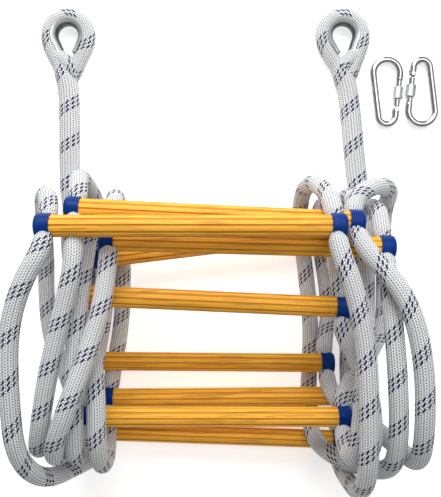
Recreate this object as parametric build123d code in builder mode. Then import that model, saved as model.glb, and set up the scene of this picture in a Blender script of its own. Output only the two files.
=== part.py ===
from build123d import *
import math
import os

os.makedirs("parts", exist_ok=True)

# Rope ladder, folded into a flat accordion coil. Millimetres, +Z up, the coil lies on Z = 0.
# The coil is laid out about its own middle, and MID moves it so that the box is centred.
MID_X, MID_Y = 23.45, 12.67

ROPE_D = 20.0            # side ropes
RUNG_LENGTH = 312.0      # over both caps
HOLE_SPACING = 290.0     # between the two rope holes of a rung
BAR_D = 22.5
FLUTES = 10
FLUTE_R = 1.7
CAP_D = 26.0
CAP_LENGTH = 16.0
CAP_END = 3.4            # closed end of the cap
ROPE_HOLE_D = 16.0       # the rope is squeezed through it
HOLE_RUN = 25.0          # half of the straight run of rope at each hole
SPLICE_D = 26.0          # rope spliced back into itself
EYE_R = 24.5             # rope centreline round the thimble
EYE_Z = 13.0
THIMBLE_IN, THIMBLE_OUT = 10.3, 11.9   # hollow and back of the channel, from the rope's middle
THIMBLE_LIP = 4.6        # how far short of the rope's middle its lips stop
THIMBLE_TURN = 25.0      # its legs leave the round part this many degrees below the middle
THIMBLE_LEG = 17.0
HOOK_H = 82.6            # rod centreline, from end to end
HOOK_WIDE_R, HOOK_NARROW_R = 17.0, 10.75
HOOK_ROD = 9.0
GATE_D = 8.0
SLEEVE_D = 13.4
SLEEVE_L = 16.0
NOSE_D = 7.8
RIVET_D = 3.0
HOOK_Z = 6.7

# Rungs, first to last from the eye ends: middle X, Y, Z, turn about Z in degrees, whether the
# rope passes towards -Y (low side of the coil) or +Y (top side), and its tilt there in degrees.
RUNGS = {
    1: (0.0, -235, 20, -2.0, "low", 22),
    2: (-29.5, 22.5, 180, 0.0, "top", 30),
    3: (-35.5, -205, 35, 0.0, "low", 28),
    4: (28, 4.7, 145, -1.45, "top", 30),
    5: (11, -180, 48, 0.5, "low", 28),
    6: (-15, -57, 128, -2.6, "top", 8),
    7: (-17, -139, 40, -0.5, "low", 28),
    8: (-6, 34.5, 154, -2.7, "top", 36),
    9: (-8, -190, 100, 0.0, "low", 25),
    10: (-2, 5, 34, 6.9, "low", 0),
}

# Way points of each rope between one rung and the next.
LEFT_SPANS = {
    0: [(-191, 81.7, 13), (-191, 30, 10), (-191, -40, 10), (-189, -110, 10), (-167, -170, 10)],
    1: [(-164, -252, 79), (-190, -251, 133), (-206, -212, 177), (-209, -150, 188),
        (-209, -82, 193), (-194, -32, 196)],
    2: [(-188, 60, 130), (-206, 58, 82), (-218, 34, 34), (-222, -15, 10), (-222, -70, 10),
        (-214, -125, 11)],
    3: [(-177, -227, 80), (-176, -228, 127), (-171, -206, 173), (-151, -155, 188),
        (-133, -104, 180), (-120, -55, 168)],
    4: [(-119, 58, 108), (-123, 60, 58), (-125, 26, 10), (-124, -40, 10), (-126, -100, 10)],
    5: [(-131, -238, 80), (-129, -240, 124), (-129, -206, 155), (-129, -150, 157),
        (-138, -104, 137)],
    6: [(-168, 8, 112), (-169, 48, 92), (-170, 50, 46), (-170, 12, 10), (-169, -45, 10)],
    7: [(-172, -184, 72), (-193, -212, 92), (-197, -220, 134), (-187, -188, 161),
        (-175, -125, 172), (-158, -62, 178), (-146, -14, 182)],
    8: [(-158, 80, 114), (-160, 80, 64), (-150, 46, 13), (-147, -10, 10), (-145, -60, 11),
        (-145, -104, 46), (-148, -138, 70)],
    9: [(-153, -226, 132), (-152, -212, 158), (-151, -155, 165), (-151, -98, 158),
        (-148, -48, 150), (-145, 2, 128), (-146, 40, 100), (-147, 42, 60)],
    10: [(-138, -52, 36)],
}
RIGHT_SPANS = {
    0: [(174, 81.8, 13), (184, 30, 10), (187, -40, 10), (186, -110, 10), (168, -172, 10)],
    1: [(149, -271, 74), (150, -265, 130), (149, -230, 177), (147, -165, 190), (143, -92, 193),
        (130, -36, 196)],
    2: [(110, 64, 140), (103, 76, 96), (99, 68, 44), (100, 32, 10), (109, -34, 10),
        (115, -95, 10), (113, -145, 14)],
    3: [(130, -246, 62), (162, -250, 92), (183, -241, 131), (184, -205, 162), (181, -140, 170),
        (176, -75, 170)],
    4: [(175, 46, 110), (171, 50, 58), (162, 18, 10), (163, -40, 10), (162, -100, 11)],
    5: [(160, -225, 82), (160, -226, 123), (161, -204, 150), (160, -160, 144), (148, -120, 134)],
    6: [(126, 4, 112), (122, 48, 92), (122, 54, 46), (123, 26, 10), (134, -38, 10),
        (138, -85, 12)],
    7: [(138, -182, 71), (165, -196, 86), (198, -222, 110), (208, -228, 152), (204, -180, 184),
        (201, -108, 190), (184, -44, 190)],
    8: [(164, 69, 120), (198, 71, 86), (201, 46, 34), (207, 0, 11), (209, -55, 10),
        (203, -100, 24), (176, -132, 56)],
    9: [(138, -226, 132), (142, -212, 158), (147, -160, 164), (150, -102, 160), (153, -48, 142),
        (153, 2, 118), (153, 46, 102), (151, 66, 64)],
    10: [(141, -26, 36)],
}

# Where each eye end leaves the coil, and the middle of each eye.
EYES = {
    "left": ((-191.0, 95.0), (-193.0, 270.0)),
    "right": ((172.3, 95.0), (154.6, 270.0)),
}
THROAT = 48.0            # from the middle of the eye to the end of the splice
CROTCH = 33.0            # and to the strands tucked across between its legs

# Loose snap hooks: middle, and turn about Z in degrees.
HOOKS = {"hook_1": ((212.6, 200.2), 0.0), "hook_2": ((257.4, 200.2), 180.0)}
HINGE_Y = -23.0          # from the middle of the hook
# Places along the gate, from its hinge.
GATE_FOOT, GATE_TIP = 5.2, 30.3
SLEEVE_FOOT = 13.8
NOSE_FOOT, ROD_END = 30.8, 39.4


def rung_direction(n):
    turn = math.radians(RUNGS[n][3])
    return Vector(math.cos(turn), math.sin(turn), 0)


def rope_hole(n, side):
    x, y, z = RUNGS[n][:3]
    return Vector(x - MID_X, y - MID_Y, z) + rung_direction(n) * (side * HOLE_SPACING / 2)


def rope_direction(n):
    tilt = math.radians(RUNGS[n][5])
    sign = -1 if RUNGS[n][4] == "low" else 1
    return Vector(0, sign * math.cos(tilt), -sign * math.sin(tilt))


def rope_route(side):
    spans = LEFT_SPANS if side < 0 else RIGHT_SPANS
    points = [Vector(x - MID_X, y - MID_Y, z) for x, y, z in spans[0]]
    for n in RUNGS:
        hole, way = rope_hole(n, side), rope_direction(n)
        points += [hole - way * HOLE_RUN, hole + way * HOLE_RUN]
        points += [Vector(x - MID_X, y - MID_Y, z) for x, y, z in spans[n]]
    return points


def arc_radii(points):
    radii = []
    for a, b, c in zip(points, points[1:], points[2:]):
        turn = math.radians((b - a).get_angle(c - b))
        radii.append(0.45 * min((b - a).length, (c - b).length) / math.tan(turn / 2))
    return radii


# Rungs: a fluted bar with a cap on each end, and the rope holes across both.
for n in RUNGS:
    along = rung_direction(n)
    middle = Vector(RUNGS[n][0] - MID_X, RUNGS[n][1] - MID_Y, RUNGS[n][2])
    half_bar = RUNG_LENGTH / 2 - CAP_END
    with BuildPart() as bar:
        with BuildSketch(Plane(origin=middle, x_dir=(0, 0, 1), z_dir=along)):
            Circle(BAR_D / 2)
            with PolarLocations(BAR_D / 2 + FLUTE_R * 0.42, FLUTES):
                Circle(FLUTE_R, mode=Mode.SUBTRACT)
        extrude(amount=half_bar, both=True)
        for side in (-1, 1):
            with BuildSketch(Plane(origin=rope_hole(n, side), z_dir=rope_direction(n))):
                Circle(ROPE_HOLE_D / 2)
            extrude(amount=CAP_D, both=True, mode=Mode.SUBTRACT)
    bar.part.label = f"rung_{n}_bar"
    export_step(bar.part, f"parts/rung_{n}_bar.step")

    for side, word in ((-1, "left"), (1, "right")):
        outward = along * side
        mouth = middle + outward * (RUNG_LENGTH / 2 - CAP_LENGTH)
        with BuildPart() as cap:
            with BuildSketch(Plane(origin=mouth, x_dir=(0, 0, 1), z_dir=outward)):
                Circle(CAP_D / 2)
            extrude(amount=CAP_LENGTH)
            end = cap.faces().sort_by(Axis(origin=mouth, direction=outward))[-1]
            fillet(end.edges(), 4.0)
            with BuildSketch(Plane(origin=mouth, x_dir=(0, 0, 1), z_dir=outward)):
                Circle(BAR_D / 2)
            extrude(amount=CAP_LENGTH - CAP_END, mode=Mode.SUBTRACT)
            with BuildSketch(Plane(origin=rope_hole(n, side), z_dir=rope_direction(n))):
                Circle(ROPE_HOLE_D / 2)
            extrude(amount=CAP_D, both=True, mode=Mode.SUBTRACT)
        cap.part.label = f"rung_{n}_{word}_cap"
        export_step(cap.part, f"parts/rung_{n}_{word}_cap.step")

# Side ropes, from where they leave their eye end to their whipped bottom end.
for side, word in ((-1, "left"), (1, "right")):
    route = rope_route(side)
    radii = arc_radii(route)
    with BuildPart() as rope:
        with BuildLine() as path:
            FilletPolyline(*route, radius=radii)
        with BuildSketch(Plane(origin=route[0], z_dir=route[1] - route[0])):
            Circle(ROPE_D / 2)
        sweep()
        # The splice tapers down to the plain rope where it goes under the coil.
        with BuildSketch(Plane(origin=route[0], z_dir=route[1] - route[0])):
            Circle(SPLICE_D / 2)
        with BuildSketch(Plane(origin=route[0], z_dir=route[1] - route[0]).offset(24)):
            Circle(ROPE_D / 2 + 0.2)
        loft()
    length = sum(edge.length for edge in path.edges())
    area = math.pi * ROPE_D**2 / 4
    print(word, "rope", round(length), "mm, smallest radius", round(min(radii)),
          "volume over section x length", round(rope.part.volume / area / length, 4))
    print("  radii", [round(r) for r in radii])
    rope.part.label = f"{word}_rope"
    export_step(rope.part, f"parts/{word}_rope.step")

    tail = route[-1]
    back = (route[-2] - route[-1]).normalized()
    with BuildPart() as whipping:
        with BuildSketch(Plane(origin=tail + back * 14, z_dir=back * -1)):
            Circle(ROPE_D / 2 + 0.8)
            Circle(ROPE_D / 2, mode=Mode.SUBTRACT)
        extrude(amount=12)
    whipping.part.label = f"{word}_end_whipping"
    export_step(whipping.part, f"parts/{word}_end_whipping.step")

# Eye ends: spliced leader and the loop round its thimble.
for word, (foot, middle) in EYES.items():
    foot = Vector(foot[0] - MID_X, foot[1] - MID_Y, EYE_Z)
    centre = Vector(middle[0] - MID_X, middle[1] - MID_Y, EYE_Z)
    up = (centre - foot).normalized()
    across = up.cross(Vector(0, 0, 1))

    def at(x, y):
        return centre + across * x + up * y

    flat = Plane(origin=centre, x_dir=across, z_dir=(0, 0, 1))
    k = EYE_R * math.tan(math.radians(22.5))
    with BuildPart() as eye:
        with BuildSketch(Plane(origin=foot, z_dir=up)):
            Circle(SPLICE_D / 2)
        extrude(amount=(centre - foot).length - THROAT)
        with Locations(foot, at(0, -THROAT)):
            Sphere(SPLICE_D / 2)
        with Locations(at(0, -CROTCH)):
            Sphere(ROPE_D / 2)
        for s in (-1, 1):
            half = [at(0, EYE_R), at(s * k, EYE_R), at(s * EYE_R, k), at(s * EYE_R, -k),
                    at(s * 13, -32), at(s * 1.5, -56)]
            with BuildLine() as leg:
                FilletPolyline(*half, radius=arc_radii(half))
            with BuildSketch(Plane(origin=half[0], z_dir=half[1] - half[0])):
                Circle(ROPE_D / 2)
            sweep(path=leg.wires()[0])
    eye.part.label = f"{word}_eye_rope"
    export_step(eye.part, f"parts/{word}_eye_rope.step")

    # Thimble: a channel that the rope lies in, open at the bottom of the eye.
    turn = math.radians(THIMBLE_TURN)
    last = (EYE_R * math.cos(turn), -EYE_R * math.sin(turn))
    tip = (last[0] - THIMBLE_LEG * math.sin(turn), last[1] - THIMBLE_LEG * math.cos(turn))
    with BuildPart() as thimble:
        with BuildLine() as bow:
            Line(at(-tip[0], tip[1]), at(-last[0], last[1]))
            ThreePointArc(at(-last[0], last[1]), at(0, EYE_R), at(*last))
            Line(at(*last), at(*tip))
        start = bow.wires()[0] @ 0
        forward = bow.wires()[0] % 0
        with BuildSketch(Plane(origin=start, x_dir=forward.cross(Vector(0, 0, 1)),
                               z_dir=forward)):
            Circle(THIMBLE_OUT)
            Circle(THIMBLE_IN, mode=Mode.SUBTRACT)
            with Locations((THIMBLE_LIP + THIMBLE_OUT, 0)):
                Rectangle(2 * THIMBLE_OUT, 3 * THIMBLE_OUT, mode=Mode.INTERSECT)
        sweep(path=bow.wires()[0])
    thimble.part.label = f"{word}_thimble"
    export_step(thimble.part, f"parts/{word}_thimble.step")

# Screw-gate snap hooks, lying loose beside the coil.
for name, (middle, turn) in HOOKS.items():
    c, s = math.cos(math.radians(turn)), math.sin(math.radians(turn))
    centre = Vector(middle[0] - MID_X, middle[1] - MID_Y, HOOK_Z)

    def on(x, y, z=0.0):
        return centre + Vector(x * c - y * s, x * s + y * c, z)

    # The body is a bent rod round two circles, and both its legs lean by the same angle.
    half = HOOK_H / 2
    wide_y, narrow_y = half - HOOK_WIDE_R, HOOK_NARROW_R - half
    lean = math.asin((HOOK_WIDE_R - HOOK_NARROW_R) / (wide_y - narrow_y))

    def leg_x(y):
        return (HOOK_WIDE_R + math.sin(lean) * (y - wide_y)) / math.cos(lean)

    def gate_at(run, z=0.0):
        return on(leg_x(HINGE_Y) + run * math.sin(lean), HINGE_Y + run * math.cos(lean), z)

    lengthwise = (gate_at(1) - gate_at(0)).normalized()
    sideways = lengthwise.cross(Vector(0, 0, 1))
    corners = [gate_at(ROD_END), on(leg_x(half), half), on(-leg_x(half), half),
               on(-leg_x(-half), -half), on(leg_x(-half), -half), gate_at(0)]
    wide, narrow = HOOK_WIDE_R - 0.1, HOOK_NARROW_R - 0.1
    with BuildPart() as body:
        with BuildLine() as bend:
            FilletPolyline(*corners, radius=[wide, wide, narrow, narrow])
        with BuildSketch(Plane(origin=corners[0], z_dir=corners[1] - corners[0])):
            Circle(HOOK_ROD / 2)
        sweep()
        with Locations(gate_at(0), gate_at(ROD_END)):
            Sphere(HOOK_ROD / 2)
        with BuildSketch(Plane(origin=gate_at(NOSE_FOOT), z_dir=lengthwise)):
            Circle(NOSE_D / 2)
        extrude(amount=10)
        with Locations(Plane(origin=gate_at(1), x_dir=sideways, z_dir=(0, 0, 1))):
            Box(14, 11.6, 3.5, mode=Mode.SUBTRACT)
        with BuildSketch(Plane(origin=gate_at(0), z_dir=(0, 0, 1))):
            Circle(RIVET_D / 2)
        extrude(amount=8, both=True, mode=Mode.SUBTRACT)
    body.part.label = f"{name}_body"
    export_step(body.part, f"parts/{name}_body.step")

    with BuildPart() as gate:
        with BuildSketch(Plane(origin=gate_at(GATE_FOOT), z_dir=lengthwise)):
            Circle(GATE_D / 2)
        extrude(amount=GATE_TIP - GATE_FOOT)
        tang = Plane(origin=gate_at(0, -1.5), x_dir=sideways, z_dir=(0, 0, 1))
        with BuildSketch(tang):
            Circle(3.9)
            with Locations((0, 3.2)):
                Rectangle(7.8, 6.4)
            Circle(RIVET_D / 2 + 0.05, mode=Mode.SUBTRACT)
        extrude(amount=3.0)
    gate.part.label = f"{name}_gate"
    export_step(gate.part, f"parts/{name}_gate.step")

    with BuildPart() as sleeve:
        with BuildSketch(Plane(origin=gate_at(SLEEVE_FOOT), z_dir=lengthwise)):
            Circle(SLEEVE_D / 2)
        extrude(amount=SLEEVE_L)
        chamfer(sleeve.edges().filter_by(GeomType.CIRCLE), 0.9)
        with BuildSketch(Plane(origin=gate_at(SLEEVE_FOOT), z_dir=lengthwise)):
            Circle(GATE_D / 2 + 0.3)
        extrude(amount=SLEEVE_L, mode=Mode.SUBTRACT)
    sleeve.part.label = f"{name}_sleeve"
    export_step(sleeve.part, f"parts/{name}_sleeve.step")

    with BuildPart() as rivet:
        with BuildSketch(Plane(origin=gate_at(0, -5.0), z_dir=(0, 0, 1))):
            Circle(RIVET_D / 2)
        extrude(amount=10.0)
        for z in (-5.0, 4.3):
            with BuildSketch(Plane(origin=gate_at(0, z), z_dir=(0, 0, 1))):
                Circle(2.5)
            extrude(amount=0.7)
    rivet.part.label = f"{name}_rivet"
    export_step(rivet.part, f"parts/{name}_rivet.step")
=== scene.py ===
"""Rope ladder folded into a coil: ropes, finishes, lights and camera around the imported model."""

import math

import bpy
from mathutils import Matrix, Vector


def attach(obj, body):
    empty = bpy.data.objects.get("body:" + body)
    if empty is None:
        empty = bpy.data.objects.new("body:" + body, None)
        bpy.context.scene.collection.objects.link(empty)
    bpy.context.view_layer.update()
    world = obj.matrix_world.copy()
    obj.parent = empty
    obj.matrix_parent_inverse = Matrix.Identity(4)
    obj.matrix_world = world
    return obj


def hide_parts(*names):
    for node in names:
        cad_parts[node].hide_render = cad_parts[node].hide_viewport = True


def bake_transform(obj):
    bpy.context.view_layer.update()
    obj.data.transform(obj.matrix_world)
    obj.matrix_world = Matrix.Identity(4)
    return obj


bl_info = {
    "name": "Rope Ladder",
    "version": (1, 0, 0),
    "blender": (4, 5, 0),
    "location": "View3D > Sidebar > Ladder",
    "description": "Builds the braided ropes and the finishes of a folded rope ladder",
    "category": "Object",
}

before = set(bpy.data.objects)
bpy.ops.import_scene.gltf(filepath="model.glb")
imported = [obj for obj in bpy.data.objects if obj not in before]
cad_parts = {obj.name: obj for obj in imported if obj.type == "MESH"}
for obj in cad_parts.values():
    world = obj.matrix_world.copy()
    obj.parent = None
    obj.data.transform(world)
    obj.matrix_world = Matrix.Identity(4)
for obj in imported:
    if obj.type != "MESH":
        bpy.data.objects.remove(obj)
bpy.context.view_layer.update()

# The coil was laid out about its own middle, which is not quite the middle of the box.
LAYOUT_X, LAYOUT_Y = 23.45, 12.67
HALF_HOLES = 145.0
HOLE_RUN = 25.0
FLUTES = 10

# Rungs: middle X, Y, Z, turn about Z, 1 where the rope passes towards +Y or -1, and its tilt.
RUNGS = {
    1: (0.0, -235, 20, -2.0, -1, 22),
    2: (-29.5, 22.5, 180, 0.0, 1, 30),
    3: (-35.5, -205, 35, 0.0, -1, 28),
    4: (28, 4.7, 145, -1.45, 1, 30),
    5: (11, -180, 48, 0.5, -1, 28),
    6: (-15, -57, 128, -2.6, 1, 8),
    7: (-17, -139, 40, -0.5, -1, 28),
    8: (-6, 34.5, 154, -2.7, 1, 36),
    9: (-8, -190, 100, 0.0, -1, 25),
    10: (-2, 5, 34, 6.9, -1, 0),
}
LEFT_SPANS = {
    0: [(-191, 81.7, 13), (-191, 30, 10), (-191, -40, 10), (-189, -110, 10), (-167, -170, 10)],
    1: [(-164, -252, 79), (-190, -251, 133), (-206, -212, 177), (-209, -150, 188),
        (-209, -82, 193), (-194, -32, 196)],
    2: [(-188, 60, 130), (-206, 58, 82), (-218, 34, 34), (-222, -15, 10), (-222, -70, 10),
        (-214, -125, 11)],
    3: [(-177, -227, 80), (-176, -228, 127), (-171, -206, 173), (-151, -155, 188),
        (-133, -104, 180), (-120, -55, 168)],
    4: [(-119, 58, 108), (-123, 60, 58), (-125, 26, 10), (-124, -40, 10), (-126, -100, 10)],
    5: [(-131, -238, 80), (-129, -240, 124), (-129, -206, 155), (-129, -150, 157),
        (-138, -104, 137)],
    6: [(-168, 8, 112), (-169, 48, 92), (-170, 50, 46), (-170, 12, 10), (-169, -45, 10)],
    7: [(-172, -184, 72), (-193, -212, 92), (-197, -220, 134), (-187, -188, 161),
        (-175, -125, 172), (-158, -62, 178), (-146, -14, 182)],
    8: [(-158, 80, 114), (-160, 80, 64), (-150, 46, 13), (-147, -10, 10), (-145, -60, 11),
        (-145, -104, 46), (-148, -138, 70)],
    9: [(-153, -226, 132), (-152, -212, 158), (-151, -155, 165), (-151, -98, 158),
        (-148, -48, 150), (-145, 2, 128), (-146, 40, 100), (-147, 42, 60)],
    10: [(-138, -52, 36)],
}
RIGHT_SPANS = {
    0: [(174, 81.8, 13), (184, 30, 10), (187, -40, 10), (186, -110, 10), (168, -172, 10)],
    1: [(149, -271, 74), (150, -265, 130), (149, -230, 177), (147, -165, 190), (143, -92, 193),
        (130, -36, 196)],
    2: [(110, 64, 140), (103, 76, 96), (99, 68, 44), (100, 32, 10), (109, -34, 10),
        (115, -95, 10), (113, -145, 14)],
    3: [(130, -246, 62), (162, -250, 92), (183, -241, 131), (184, -205, 162), (181, -140, 170),
        (176, -75, 170)],
    4: [(175, 46, 110), (171, 50, 58), (162, 18, 10), (163, -40, 10), (162, -100, 11)],
    5: [(160, -225, 82), (160, -226, 123), (161, -204, 150), (160, -160, 144), (148, -120, 134)],
    6: [(126, 4, 112), (122, 48, 92), (122, 54, 46), (123, 26, 10), (134, -38, 10),
        (138, -85, 12)],
    7: [(138, -182, 71), (165, -196, 86), (198, -222, 110), (208, -228, 152), (204, -180, 184),
        (201, -108, 190), (184, -44, 190)],
    8: [(164, 69, 120), (198, 71, 86), (201, 46, 34), (207, 0, 11), (209, -55, 10),
        (203, -100, 24), (176, -132, 56)],
    9: [(138, -226, 132), (142, -212, 158), (147, -160, 164), (150, -102, 160), (153, -48, 142),
        (153, 2, 118), (153, 46, 102), (151, 66, 64)],
    10: [(141, -26, 36)],
}
# Where each eye end leaves the coil, and the middle of its eye.
EYES = {
    "left": ((-191.0, 95.0), (-193.0, 270.0)),
    "right": ((172.3, 95.0), (154.6, 270.0)),
}
EYE_Z = 13.0
EYE_R = 24.5

# A rope's thickness, by distances along it in metres.
SECOND_LEG = 0.15                # the second leg of an eye lies further along than this
THROAT_DROP = 0.034              # the legs begin to merge this far below the eye's middle
SPLICE_SWELL = 0.022             # length over which the rope thickens there
SPLICE_TAPER = (0.010, 0.050)    # where it thins again, past the foot of the eye end
SQUEEZE = (0.0105, 0.0165)       # from a rung's hole: tight up to here, and plain from here
TIP_SHARES = (0.62, 0.85, 0.96)  # share of the radius on the last three rings of each end

# The strand tucked across between an eye's legs: its radius as a share of the rope's.
TUCK_TIP = 0.55
TUCK_SWELL = 0.42
TUCK_EASE = 0.014                # length in metres over which its ends swell

# The braid, in metres along the rope.
BRAID_COLUMNS = 22               # columns of stitches round the rope
PICK = 0.0029                    # one stitch of a column
NAVY_LEAD = 0.047                # a navy yarn goes round the rope once in this length
NAVY_STEPS = (0.0030, 0.0083, 0.0136)  # places of the three navy yarns in that length
DASH_HALF = 0.0015               # half of the length of a navy dash
DASH_SLANT = 0.0064              # how far a dash leans over a pair of columns
DASH_HALF_SHARE = 0.29           # half of its width, as a share of a pair of columns

# Heights from the thimble's middle in metres: painted shade up to the first, bright lips from the
# second.
CHANNEL_SHADE_BAND = (0.0058, 0.0088)


def placed(x, y, z):
    """A layout point in millimetres as a scene point in metres."""
    return Vector(((x - LAYOUT_X) / 1000, (y - LAYOUT_Y) / 1000, z / 1000))


def rope_hole(n, side):
    x, y, z, turn = RUNGS[n][:4]
    turn = math.radians(turn)
    return placed(x + side * HALF_HOLES * math.cos(turn), y + side * HALF_HOLES * math.sin(turn), z)


def hole_way(n):
    sign, tilt = RUNGS[n][4], math.radians(RUNGS[n][5])
    return Vector((0, sign * math.cos(tilt), -sign * math.sin(tilt)))


def eye_frame(word):
    foot, middle = EYES[word]
    centre, foot = placed(*middle, EYE_Z), placed(*foot, EYE_Z)
    up = (centre - foot).normalized()
    across = up.cross(Vector((0, 0, 1)))
    return foot, centre, up, across


def rope_route(word):
    """Control points of one whole rope, from the tucked end of its eye to its bottom end."""
    side = -1 if word == "left" else 1
    spans = LEFT_SPANS if side < 0 else RIGHT_SPANS
    foot, centre, up, across = eye_frame(word)
    bevel = EYE_R * math.tan(math.radians(22.5))
    loop = [(1.5, -56), (13, -32), (EYE_R, -bevel), (EYE_R, bevel), (bevel, EYE_R),
            (-bevel, EYE_R), (-EYE_R, bevel), (-EYE_R, -bevel), (-13, -32), (-1.5, -56),
            (0.6, -92), (0, -135)]
    route = [centre + (across * x + up * y) / 1000 for x, y in loop]
    route += [foot] + [placed(*p) for p in spans[0]]
    for n in RUNGS:
        hole, way = rope_hole(n, side), hole_way(n) * HOLE_RUN / 1000
        route += [hole - way, hole + way] + [placed(*p) for p in spans[n]]
    return route


# ---------------------------------------------------------------- settings

class LadderSizes(bpy.types.PropertyGroup):
    rope_diameter: bpy.props.FloatProperty(
        name="Rope diameter", description="Diameter of the plain rope", default=0.020,
        min=0.005, subtype="DISTANCE", unit="LENGTH")
    splice_diameter: bpy.props.FloatProperty(
        name="Splice diameter", description="Diameter where the rope is spliced into itself",
        default=0.026, min=0.005, subtype="DISTANCE", unit="LENGTH")
    hole_diameter: bpy.props.FloatProperty(
        name="Rope in the rung", description="Diameter of the rope squeezed in a rung's hole",
        default=0.0156, min=0.005, subtype="DISTANCE", unit="LENGTH")
    ring_step: bpy.props.FloatProperty(
        name="Ring step", description="Distance between the rings of the rope's surface",
        default=0.0024, min=0.001, subtype="DISTANCE", unit="LENGTH")
    ring_points: bpy.props.IntProperty(
        name="Ring points", description="Points round the rope's surface", default=32, min=8)
    camera_height: bpy.props.FloatProperty(
        name="Camera height", description="Height of the camera above the floor", default=0.8,
        min=0.1, subtype="DISTANCE", unit="LENGTH")
    camera_lens: bpy.props.FloatProperty(
        name="Camera lens", description="Focal length on a 36 mm frame", default=44.9, min=10)


class LadderColours(bpy.types.PropertyGroup):
    rope_white: bpy.props.FloatVectorProperty(
        name="Rope", description="Colour of the white yarns", default=(0.87, 0.885, 0.90),
        subtype="COLOR", size=3, min=0, max=1)
    rope_fleck: bpy.props.FloatVectorProperty(
        name="Flecks", description="Colour of the navy yarns", default=(0.003, 0.006, 0.085),
        subtype="COLOR", size=3, min=0, max=1)
    rung: bpy.props.FloatVectorProperty(
        name="Rung", description="Colour of the rung bars", default=(0.92, 0.44, 0.045),
        subtype="COLOR", size=3, min=0, max=1)
    cap: bpy.props.FloatVectorProperty(
        name="Cap", description="Colour of the end caps", default=(0.0006, 0.026, 0.175),
        subtype="COLOR", size=3, min=0, max=1)
    steel: bpy.props.FloatVectorProperty(
        name="Steel", description="Colour of the zinc-plated steel", default=(0.62, 0.63, 0.64),
        subtype="COLOR", size=3, min=0, max=1)


def sizes():
    return bpy.context.scene.ladder_sizes


def colours():
    return bpy.context.scene.ladder_colours


# ---------------------------------------------------------------- shader maths

class Socket:
    """A node's output with the usual operators, which add Math nodes."""

    def __init__(self, graph, out):
        self.graph, self.out = graph, out

    def __add__(self, other):
        return self.graph.math("ADD", self, other)

    def __radd__(self, other):
        return self.graph.math("ADD", other, self)

    def __sub__(self, other):
        return self.graph.math("SUBTRACT", self, other)

    def __rsub__(self, other):
        return self.graph.math("SUBTRACT", other, self)

    def __mul__(self, other):
        return self.graph.math("MULTIPLY", self, other)

    def __rmul__(self, other):
        return self.graph.math("MULTIPLY", other, self)

    def __truediv__(self, other):
        return self.graph.math("DIVIDE", self, other)

    def __lt__(self, other):
        return self.graph.math("LESS_THAN", self, other)

    def __gt__(self, other):
        return self.graph.math("GREATER_THAN", self, other)

    def fract(self):
        return self.graph.math("FRACT", self)

    def floor(self):
        return self.graph.math("FLOOR", self)

    def sin(self):
        return self.graph.math("SINE", self)

    def abs(self):
        return self.graph.math("ABSOLUTE", self)

    def clamp(self):
        return self.graph.math("MULTIPLY", self, 1.0, clamp=True)


class Finish:
    """One material: its nodes come from node(), and bsdf holds its plain values."""

    def __init__(self, name, **values):
        self.material = bpy.data.materials.new(name)
        self.material.use_nodes = True
        self.tree = self.material.node_tree
        self.bsdf = self.tree.nodes["Principled BSDF"]
        for key, value in values.items():
            self.bsdf.inputs[key.replace("_", " ")].default_value = value

    def node(self, kind, settings=None, out=0, **inputs):
        node = self.tree.nodes.new(kind)
        for key, value in (settings or {}).items():
            setattr(node, key, value)
        for key, value in inputs.items():
            if key.startswith("i_"):
                place = node.inputs[int(key[2:])]
            else:
                place = node.inputs[key.replace("_", " ")]
            self.feed(place, value)
        return Socket(self, node.outputs[out])

    def feed(self, place, value):
        if isinstance(value, Socket):
            self.tree.links.new(value.out, place)
        elif place.type == "RGBA" and len(value) == 3:
            place.default_value = (*value, 1)
        else:
            place.default_value = value

    def math(self, operation, a, b=0.0, clamp=False):
        return self.node("ShaderNodeMath", {"operation": operation, "use_clamp": clamp},
                         i_0=a, i_1=b)

    def mix(self, factor, a, b):
        return self.node("ShaderNodeMix", {"data_type": "RGBA"}, out=2, i_0=factor, i_6=a, i_7=b)

    def ramp(self, value, low, high, to_low=0.0, to_high=1.0):
        return self.node("ShaderNodeMapRange", {"interpolation_type": "SMOOTHSTEP"}, i_0=value,
                         i_1=low, i_2=high, i_3=to_low, i_4=to_high)

    def noise(self, scale, detail=2.0, vector=None, out=0):
        values = {"Scale": scale, "Detail": detail}
        if vector is None:
            vector = self.node("ShaderNodeTexCoord", out=3)
        return self.node("ShaderNodeTexNoise", out=out, Vector=vector, **values)

    def bump(self, height, distance, strength=1.0, over=None):
        values = {"Height": height, "Distance": distance, "Strength": strength}
        if over is not None:
            values["Normal"] = over
        return self.node("ShaderNodeBump", **values)

    def surface(self, **links):
        for key, value in links.items():
            self.feed(self.bsdf.inputs[key.replace("_", " ")], value)
        return self.material


def put_on(nodes, material):
    for name in nodes:
        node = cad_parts[name]
        if not node.material_slots:
            node.data.materials.append(material)
        for place in node.material_slots:
            place.material = material


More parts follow.
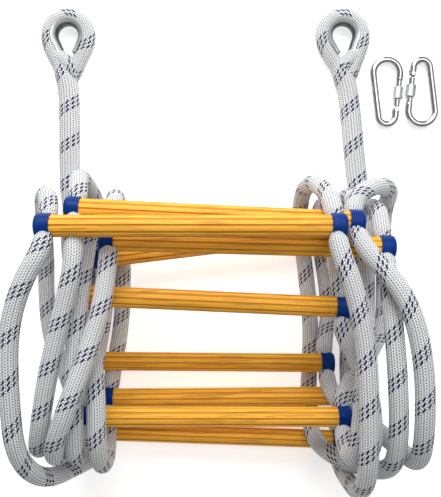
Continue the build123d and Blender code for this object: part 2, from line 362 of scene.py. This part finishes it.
def braid_finish():
    """White double braid in slanted columns, with painted shade in the grooves between stitches,
    and three navy yarns that wind round it.
    """
    look = Finish("white_braid_navy_fleck", Roughness=0.78, Specular_IOR_Level=0.25)
    uv = look.node("ShaderNodeUVMap", {"uv_map": "braid"})
    parts = look.node("ShaderNodeSeparateXYZ", Vector=uv)
    along = Socket(look, parts.out.node.outputs[0])       # metres along the rope
    turn = Socket(look, parts.out.node.outputs[1])        # turns round the rope
    place = turn * BRAID_COLUMNS
    inside = place.fract()
    odd = (place * 0.5).fract() > 0.5
    lean = odd * inside + (1 - odd) * (1 - inside)
    wobble = (look.noise(90.0) - 0.5) * 0.0007
    strand = ((along + wobble) / PICK - lean * 0.95).fract()
    strand_round = (strand * math.pi).sin()
    column_round = (inside * math.pi).sin()
    height = strand_round * 0.5 + column_round * 0.5
    # Navy yarns: a slanted dash on each pair of columns, at three steps of the winding.
    pairs = BRAID_COLUMNS / 2
    pair = turn * pairs
    across = pair.fract() - 0.5
    dash = along - across * DASH_SLANT - pair.floor() * (NAVY_LEAD / pairs)
    wind = (dash / NAVY_LEAD).fract() * NAVY_LEAD
    fleck = 0.0
    for step in NAVY_STEPS:
        fleck = fleck + ((wind - step).abs() < DASH_HALF)
    fleck = fleck * (across.abs() < DASH_HALF_SHARE)
    yarn, navy = tuple(colours().rope_white), tuple(colours().rope_fleck)
    # Painted shade: the yarn colour drops to a fifth of itself in the grooves between stitches and
    # between columns.
    painted_groove_shade = look.ramp(height, 0.15, 0.85)
    white = look.mix(painted_groove_shade, tuple(v * 0.2 for v in yarn), yarn)
    patch = look.noise(14.0, 3.0)
    white = look.mix(look.ramp(patch, 0.45, 0.75, 0.0, 0.3), white, (0.55, 0.56, 0.58))
    colour = look.mix(fleck.clamp(), white, navy)
    fuzz = look.noise(2600.0, 1.0)
    normal = look.bump(fuzz, 0.0002, 0.5, look.bump(height, 0.0014, 1.0))
    return look.surface(Base_Color=colour, Normal=normal, Roughness=0.72 + 0.15 * fuzz)


def rung_finish(n):
    """Amber plastic with a fine dark speckle and drawn lines along it, and painted shade in the
    grooves of its flutes.
    """
    look = Finish(f"amber_rung_plastic_{n}", IOR=1.5, Specular_IOR_Level=0.15, Coat_Weight=0.03,
                  Coat_Roughness=0.3)
    amber = tuple(colours().rung)
    warm = (amber[0] * 1.05, amber[1] * 1.15, amber[2] * 1.4)
    # The first colour is for drawn lines in the plastic; the second is painted shade for the flute
    # grooves.
    line_brown, painted_flute_shade = (0.27, 0.095, 0.006), (0.30, 0.105, 0.006)
    speck_brown, speck_pale = (0.33, 0.13, 0.010), (0.95, 0.56, 0.13)
    where = look.node("ShaderNodeTexCoord", out=3)
    drawn = look.node("ShaderNodeMapping", Vector=where, Scale=(0.05, 1.0, 1.0))
    speck = look.noise(1100.0, 2.0)
    broad = look.noise(9.0, 3.0)
    lines = look.noise(420.0, 2.0, drawn)
    colour = look.mix(look.ramp(broad, 0.35, 0.7, 0.0, 0.5), amber, warm)
    colour = look.mix(look.ramp(lines, 0.50, 0.68, 0.0, 0.45), colour, line_brown)
    colour = look.mix(look.ramp(speck, 0.58, 0.72, 0.0, 0.5), colour, speck_brown)
    colour = look.mix(look.ramp(speck, 0.28, 0.38, 0.35, 0.0), colour, speck_pale)
    # Painted shade along the flutes: the colour darkens towards brown at ten places round the bar,
    # found from the angle round its axis.
    x, y, z, turn = RUNGS[n][:4]
    middle, turn = placed(x, y, z), math.radians(turn)
    parts = look.node("ShaderNodeSeparateXYZ", Vector=where).out.node.outputs
    across = (Socket(look, parts[1]) - middle.y) * math.cos(turn)
    across = across - (Socket(look, parts[0]) - middle.x) * math.sin(turn)
    angle = look.math("ARCTAN2", across, Socket(look, parts[2]) - middle.z)
    flute_shade_mask = look.ramp(look.math("COSINE", angle * FLUTES), 0.15, 0.75, 0.0, 0.5)
    colour = look.mix(flute_shade_mask, colour, painted_flute_shade)
    rough = 0.36 + 0.14 * speck
    normal = look.bump(lines, 0.0004, 0.5, look.bump(speck, 0.0002, 0.4))
    return look.surface(Base_Color=colour, Roughness=rough, Normal=normal)


def cap_finish():
    """Blue plastic with faint scuffs."""
    look = Finish("blue_cap_plastic", IOR=1.5, Specular_IOR_Level=0.12)
    blue, scuffed = tuple(colours().cap), (0.008, 0.085, 0.34)
    scuff = look.noise(160.0, 4.0)
    grain = look.noise(2200.0, 1.0)
    colour = look.mix(look.ramp(scuff, 0.5, 0.75, 0.0, 0.45), blue, scuffed)
    return look.surface(Base_Color=colour, Roughness=0.25 + 0.2 * scuff,
                        Normal=look.bump(grain, 0.0001, 0.2))


def steel_finish(name, roughness, spread, tint=1.0, lines=False):
    """Zinc-plated steel with a cloudy shine, and with fine turned lines if lines is set."""
    look = Finish(name, Metallic=1.0)
    zinc = tuple(v * tint for v in colours().steel)
    cloud = look.noise(70.0, 4.0)
    grain = look.noise(1500.0, 2.0)
    dull_zinc_and_painted_shade = tuple(v * 0.72 for v in zinc)
    colour = look.mix(look.ramp(cloud, 0.35, 0.7, 0.0, 0.6), zinc, dull_zinc_and_painted_shade)
    normal = look.bump(grain, 0.0001, 0.25)
    if lines:
        rings = look.node("ShaderNodeTexWave", {"bands_direction": "Y"}, out=1, Scale=300.0,
                          Vector=look.node("ShaderNodeTexCoord", out=3))
        normal = look.bump(rings, 0.0002, 0.5, normal)
    return look.surface(Base_Color=colour, Roughness=roughness + spread * cloud, Normal=normal)


def thimble_finish():
    """Galvanised steel, bright on the lips, with painted shade in the middle of the channel's back.
    """
    look = Finish("galvanised_steel", Metallic=0.85)
    parts = look.node("ShaderNodeSeparateXYZ", Vector=look.node("ShaderNodeTexCoord", out=3))
    up = Socket(look, parts.out.node.outputs[2])
    # Painted shade: near-black zinc in the middle of the channel's back, where its inner face lies
    # in shadow, fading to the bright lips.
    painted_shade_to_lip = look.ramp((up - EYE_Z / 1000).abs(), *CHANNEL_SHADE_BAND)
    spangle = look.noise(220.0, 3.0)
    bright = look.mix(spangle, (0.62, 0.68, 0.68), (0.82, 0.86, 0.86))
    dull_zinc_and_painted_shade = look.mix(spangle, (0.045, 0.060, 0.062), (0.16, 0.19, 0.19))
    return look.surface(Base_Color=look.mix(painted_shade_to_lip, dull_zinc_and_painted_shade, bright), Roughness=0.3 + 0.25 * spangle,
                        Normal=look.bump(spangle, 0.0002, 0.3))


def twine_finish():
    """White twine, with its turns as fine ridges and painted shade between them."""
    look = Finish("white_twine", Roughness=0.8)
    turns = look.node("ShaderNodeTexWave", {"bands_direction": "Y"}, out=1, Scale=250.0,
                      Vector=look.node("ShaderNodeTexCoord", out=3))
    # Painted shade: the twine is darker grey where the turns dip between their ridges.
    return look.surface(Base_Color=look.mix(turns, (0.55, 0.54, 0.52), (0.82, 0.81, 0.79)),
                        Normal=look.bump(turns, 0.0004, 0.7))


# ---------------------------------------------------------------- ropes

def spline_points(name, route):
    """Points of the smooth NURBS line through a route, read from Blender's own curve."""
    data = bpy.data.curves.new(name, "CURVE")
    data.dimensions = "3D"
    spline = data.splines.new("NURBS")
    spline.points.add(len(route) - 1)
    for point, place in zip(spline.points, route):
        point.co = (*place, 1)
    spline.order_u = 3
    spline.use_endpoint_u = True
    spline.resolution_u = 24
    holder = bpy.data.objects.new(name, data)
    bpy.context.collection.objects.link(holder)
    bpy.context.view_layer.update()
    mesh = bpy.data.meshes.new_from_object(holder)
    points = [v.co.copy() for v in mesh.vertices]
    bpy.data.objects.remove(holder)
    bpy.data.curves.remove(data)
    bpy.data.meshes.remove(mesh)
    return points


def evenly(points, step):
    """The same line, with a point every step."""
    out, spare = [points[0].copy()], 0.0
    for a, b in zip(points, points[1:]):
        run = (b - a).length
        at = step - spare
        while at <= run:
            out.append(a.lerp(b, at / run))
            at += step
        spare = run - (at - step)
    out.append(points[-1].copy())
    return out


def smooth(low, high, value):
    """0 up to low and 1 from high, with a smooth rise between them."""
    rise = min(1.0, max(0.0, (value - low) / (high - low)))
    return rise * rise * (3 - 2 * rise)


def rope_radii(line, word):
    """Thicker over the splice, and drawn in where the rope goes through a rung."""
    size = sizes()
    plain, thick, tight = size.rope_diameter / 2, size.splice_diameter / 2, size.hole_diameter / 2
    foot, centre, up, _ = eye_frame(word)
    side = -1 if word == "left" else 1
    holes = [rope_hole(n, side) for n in RUNGS]
    travelled, along = [0.0], 0.0
    for a, b in zip(line, line[1:]):
        along += (b - a).length
        travelled.append(along)
    throat = next(i for i in range(len(line)) if travelled[i] > SECOND_LEG
                  and (line[i] - centre).dot(up) < -THROAT_DROP)
    foot_at = min(range(len(line)), key=lambda i: (line[i] - foot).length)
    hole_at = [min(range(len(line)), key=lambda i, h=h: (line[i] - h).length) for h in holes]
    radii = []
    for i in range(len(line)):
        swell = smooth(0, SPLICE_SWELL, travelled[i] - travelled[throat])
        swell *= 1 - smooth(*SPLICE_TAPER, travelled[i] - travelled[foot_at])
        radius = plain + (thick - plain) * swell
        for j in hole_at:
            off = abs(travelled[i] - travelled[j])
            if off < SQUEEZE[1]:
                radius = tight + (radius - tight) * smooth(*SQUEEZE, off)
        edge = min(i, len(line) - 1 - i)
        if edge < len(TIP_SHARES):
            radius *= TIP_SHARES[edge]
        radii.append(radius)
    return radii, travelled


def rope_mesh(name, line, radii, travelled, count):
    """A closed tube on a line, with a UV map of metres along and turns round."""
    tangents = []
    for i in range(len(line)):
        a, b = line[max(0, i - 1)], line[min(len(line) - 1, i + 1)]
        tangents.append((b - a).normalized())
    side = tangents[0].orthogonal().normalized()
    verts = []
    for i, (point, tangent) in enumerate(zip(line, tangents)):
        if i:
            side = tangents[i - 1].rotation_difference(tangent) @ side
            side = (side - tangent * side.dot(tangent)).normalized()
        other = tangent.cross(side)
        for j in range(count):
            angle = 2 * math.pi * j / count
            spoke = side * math.cos(angle) + other * math.sin(angle)
            verts.append(point + spoke * radii[i])
    faces, uvs = [], []
    for i in range(len(line) - 1):
        ring, next_ring = i * count, (i + 1) * count
        here, there = travelled[i], travelled[i + 1]
        for j in range(count):
            after = (j + 1) % count
            faces.append((ring + j, ring + after, next_ring + after, next_ring + j))
            turn, next_turn = j / count, (j + 1) / count
            uvs += [(here, turn), (here, next_turn), (there, next_turn), (there, turn)]
    verts += [line[0], line[-1]]
    first, last, top = len(verts) - 2, len(verts) - 1, (len(line) - 1) * count
    for j in range(count):
        after = (j + 1) % count
        faces += [(first, after, j), (last, top + j, top + after)]
        uvs += [(travelled[0], 0.0)] * 3 + [(travelled[-1], 0.0)] * 3
    mesh = bpy.data.meshes.new(name)
    mesh.from_pydata(verts, [], faces)
    layer = mesh.uv_layers.new(name="braid")
    for loop, uv in zip(layer.data, uvs):
        loop.uv = uv
    mesh.polygons.foreach_set("use_smooth", [True] * len(mesh.polygons))
    mesh.update()
    return mesh


class LADDER_OT_ropes(bpy.types.Operator):
    """Makes the two braided ropes, each from its eye to its bottom end"""
    bl_idname = "ladder.ropes"
    bl_label = "Braided ropes"

    def execute(self, context):
        size = sizes()
        finish = braid_finish()
        for word in ("left", "right"):
            line = evenly(spline_points(word + "_line", rope_route(word)), size.ring_step)
            radii, travelled = rope_radii(line, word)
            mesh = rope_mesh(word + "_braided_rope", line, radii, travelled, size.ring_points)
            mesh.materials.append(finish)
            rope = bpy.data.objects.new(word + "_braided_rope", mesh)
            context.collection.objects.link(rope)
            print(word, "rope length", round(travelled[-1], 3))
            foot, centre, up, _ = eye_frame(word)
            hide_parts(word + "_rope", word + "_eye_rope")
            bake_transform(rope)
            self.tuck(context, word, finish)
        return {"FINISHED"}

    def tuck(self, context, word, finish):
        """The strand that crosses between the legs of an eye, below its thimble."""
        size = sizes()
        _, centre, up, across = eye_frame(word)
        high = Vector((0, 0, 1))
        turned = -1 if word == "left" else 1
        # Across, up and high, in millimetres from the middle of the eye.
        places = [(19, -17, -1), (13, -26, 1.5), (3, -34, 2.8), (-5, -43, 2.2), (-6, -60, 0)]
        route = [centre + (across * x * turned + up * y + high * z) / 1000 for x, y, z in places]
        line = evenly(spline_points(word + "_tuck_line", route), size.ring_step)
        along = [i * size.ring_step for i in range(len(line))]
        rises = [smooth(0, TUCK_EASE, min(run, along[-1] - run)) for run in along]
        radii = [size.rope_diameter / 2 * (TUCK_TIP + TUCK_SWELL * rise) for rise in rises]
        mesh = rope_mesh(word + "_eye_tuck", line, radii, along, size.ring_points)
        mesh.materials.append(finish)
        tuck = bpy.data.objects.new(word + "_eye_tuck", mesh)
        context.collection.objects.link(tuck)
        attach(tuck, word + "_eye")


class LADDER_OT_rungs(bpy.types.Operator):
    """Gives the rung bars and their end caps their plastic"""
    bl_idname = "ladder.rungs"
    bl_label = "Rungs and caps"

    def execute(self, context):
        for n in RUNGS:
            put_on([f"rung_{n}_bar"], rung_finish(n))
        put_on([f"rung_{n}_{w}_cap" for n in RUNGS for w in ("left", "right")], cap_finish())
        return {"FINISHED"}


class LADDER_OT_thimbles(bpy.types.Operator):
    """Gives the thimbles and the whippings their finish"""
    bl_idname = "ladder.thimbles"
    bl_label = "Thimbles and whippings"

    def execute(self, context):
        put_on(["left_thimble", "right_thimble"], thimble_finish())
        put_on(["left_end_whipping", "right_end_whipping"], twine_finish())
        return {"FINISHED"}


class LADDER_OT_hooks(bpy.types.Operator):
    """Gives the snap hooks their polished and satin steel"""
    bl_idname = "ladder.hooks"
    bl_label = "Snap hooks"

    def execute(self, context):
        polished = steel_finish("polished_zinc", roughness=0.06, spread=0.10, tint=0.88)
        satin = steel_finish("satin_zinc", roughness=0.34, spread=0.18, tint=1.2, lines=True)
        for hook in ("hook_1", "hook_2"):
            put_on([hook + "_body", hook + "_gate", hook + "_rivet"], polished)
            put_on([hook + "_sleeve"], satin)
        return {"FINISHED"}


def area_light(name, place, aim, size, power):
    """A square light of a size in metres and a power in watts."""
    data = bpy.data.lights.new(name, "AREA")
    data.shape, data.size, data.energy = "SQUARE", size, power
    lamp = bpy.data.objects.new(name, data)
    lamp.location = place
    lamp.rotation_euler = (Vector(aim) - Vector(place)).to_track_quat("-Z", "Y").to_euler()
    bpy.context.collection.objects.link(lamp)


class LADDER_OT_stage(bpy.types.Operator):
    """Adds the pale floor, the soft lights and the camera"""
    bl_idname = "ladder.stage"
    bl_label = "Floor, lights and camera"

    def execute(self, context):
        size = sizes()
        bpy.ops.object.select_all(action="DESELECT")
        bpy.ops.mesh.primitive_plane_add(size=8.0, location=(0, 0, 0))
        floor = context.object
        floor.name = "floor"
        pale = Finish("pale_floor", Roughness=0.9, Specular_IOR_Level=0.1)
        pale.bsdf.inputs["Emission Color"].default_value = (1, 1, 1, 1)
        pale.bsdf.inputs["Emission Strength"].default_value = 0.5
        floor.data.materials.append(pale.surface(Base_Color=(0.93, 0.93, 0.93)))
        area_light("key", place=(-0.15, 1.3, 1.15), aim=(0, 0, 0.1), size=1.0, power=29)
        area_light("top", place=(0.5, 0.5, 1.7), aim=(0, 0, 0.05), size=1.2, power=10)
        world = bpy.data.worlds.new("soft_white")
        world.use_nodes = True
        sky = world.node_tree.nodes["Background"]
        sky.inputs["Color"].default_value = (1, 1, 1, 1)
        sky.inputs["Strength"].default_value = 0.3
        context.scene.world = world
        context.scene.view_settings.view_transform = "Standard"
        data = bpy.data.cameras.new("camera")
        data.lens, data.sensor_width, data.sensor_fit = size.camera_lens, 36.0, "AUTO"
        camera = bpy.data.objects.new("camera", data)
        middle = placed(0, 0, 0)
        camera.location = (middle.x, middle.y, size.camera_height)
        camera.rotation_euler = (0, 0, 0)
        context.collection.objects.link(camera)
        context.scene.camera = camera
        return {"FINISHED"}


class LADDER_PT_panel(bpy.types.Panel):
    """Lists the ladder's settings and operators"""
    bl_label = "Rope ladder"
    bl_idname = "LADDER_PT_panel"
    bl_space_type = "VIEW_3D"
    bl_region_type = "UI"
    bl_category = "Ladder"

    def draw(self, context):
        for group in (context.scene.ladder_sizes, context.scene.ladder_colours):
            box = self.layout.box()
            for key in group.__annotations__:
                box.prop(group, key)
        for operator in OPERATORS:
            self.layout.operator(operator.bl_idname)


OPERATORS = (LADDER_OT_stage, LADDER_OT_ropes, LADDER_OT_rungs, LADDER_OT_thimbles,
             LADDER_OT_hooks)
CLASSES = (LadderSizes, LadderColours, *OPERATORS, LADDER_PT_panel)


def register():
    for cls in CLASSES:
        bpy.utils.register_class(cls)
    bpy.types.Scene.ladder_sizes = bpy.props.PointerProperty(type=LadderSizes)
    bpy.types.Scene.ladder_colours = bpy.props.PointerProperty(type=LadderColours)


def unregister():
    del bpy.types.Scene.ladder_colours
    del bpy.types.Scene.ladder_sizes
    for cls in reversed(CLASSES):
        bpy.utils.unregister_class(cls)


def main():
    register()
    bpy.ops.ladder.stage()
    bpy.ops.ladder.ropes()
    bpy.ops.ladder.rungs()
    bpy.ops.ladder.thimbles()
    bpy.ops.ladder.hooks()


if __name__ == "__main__":
    main()
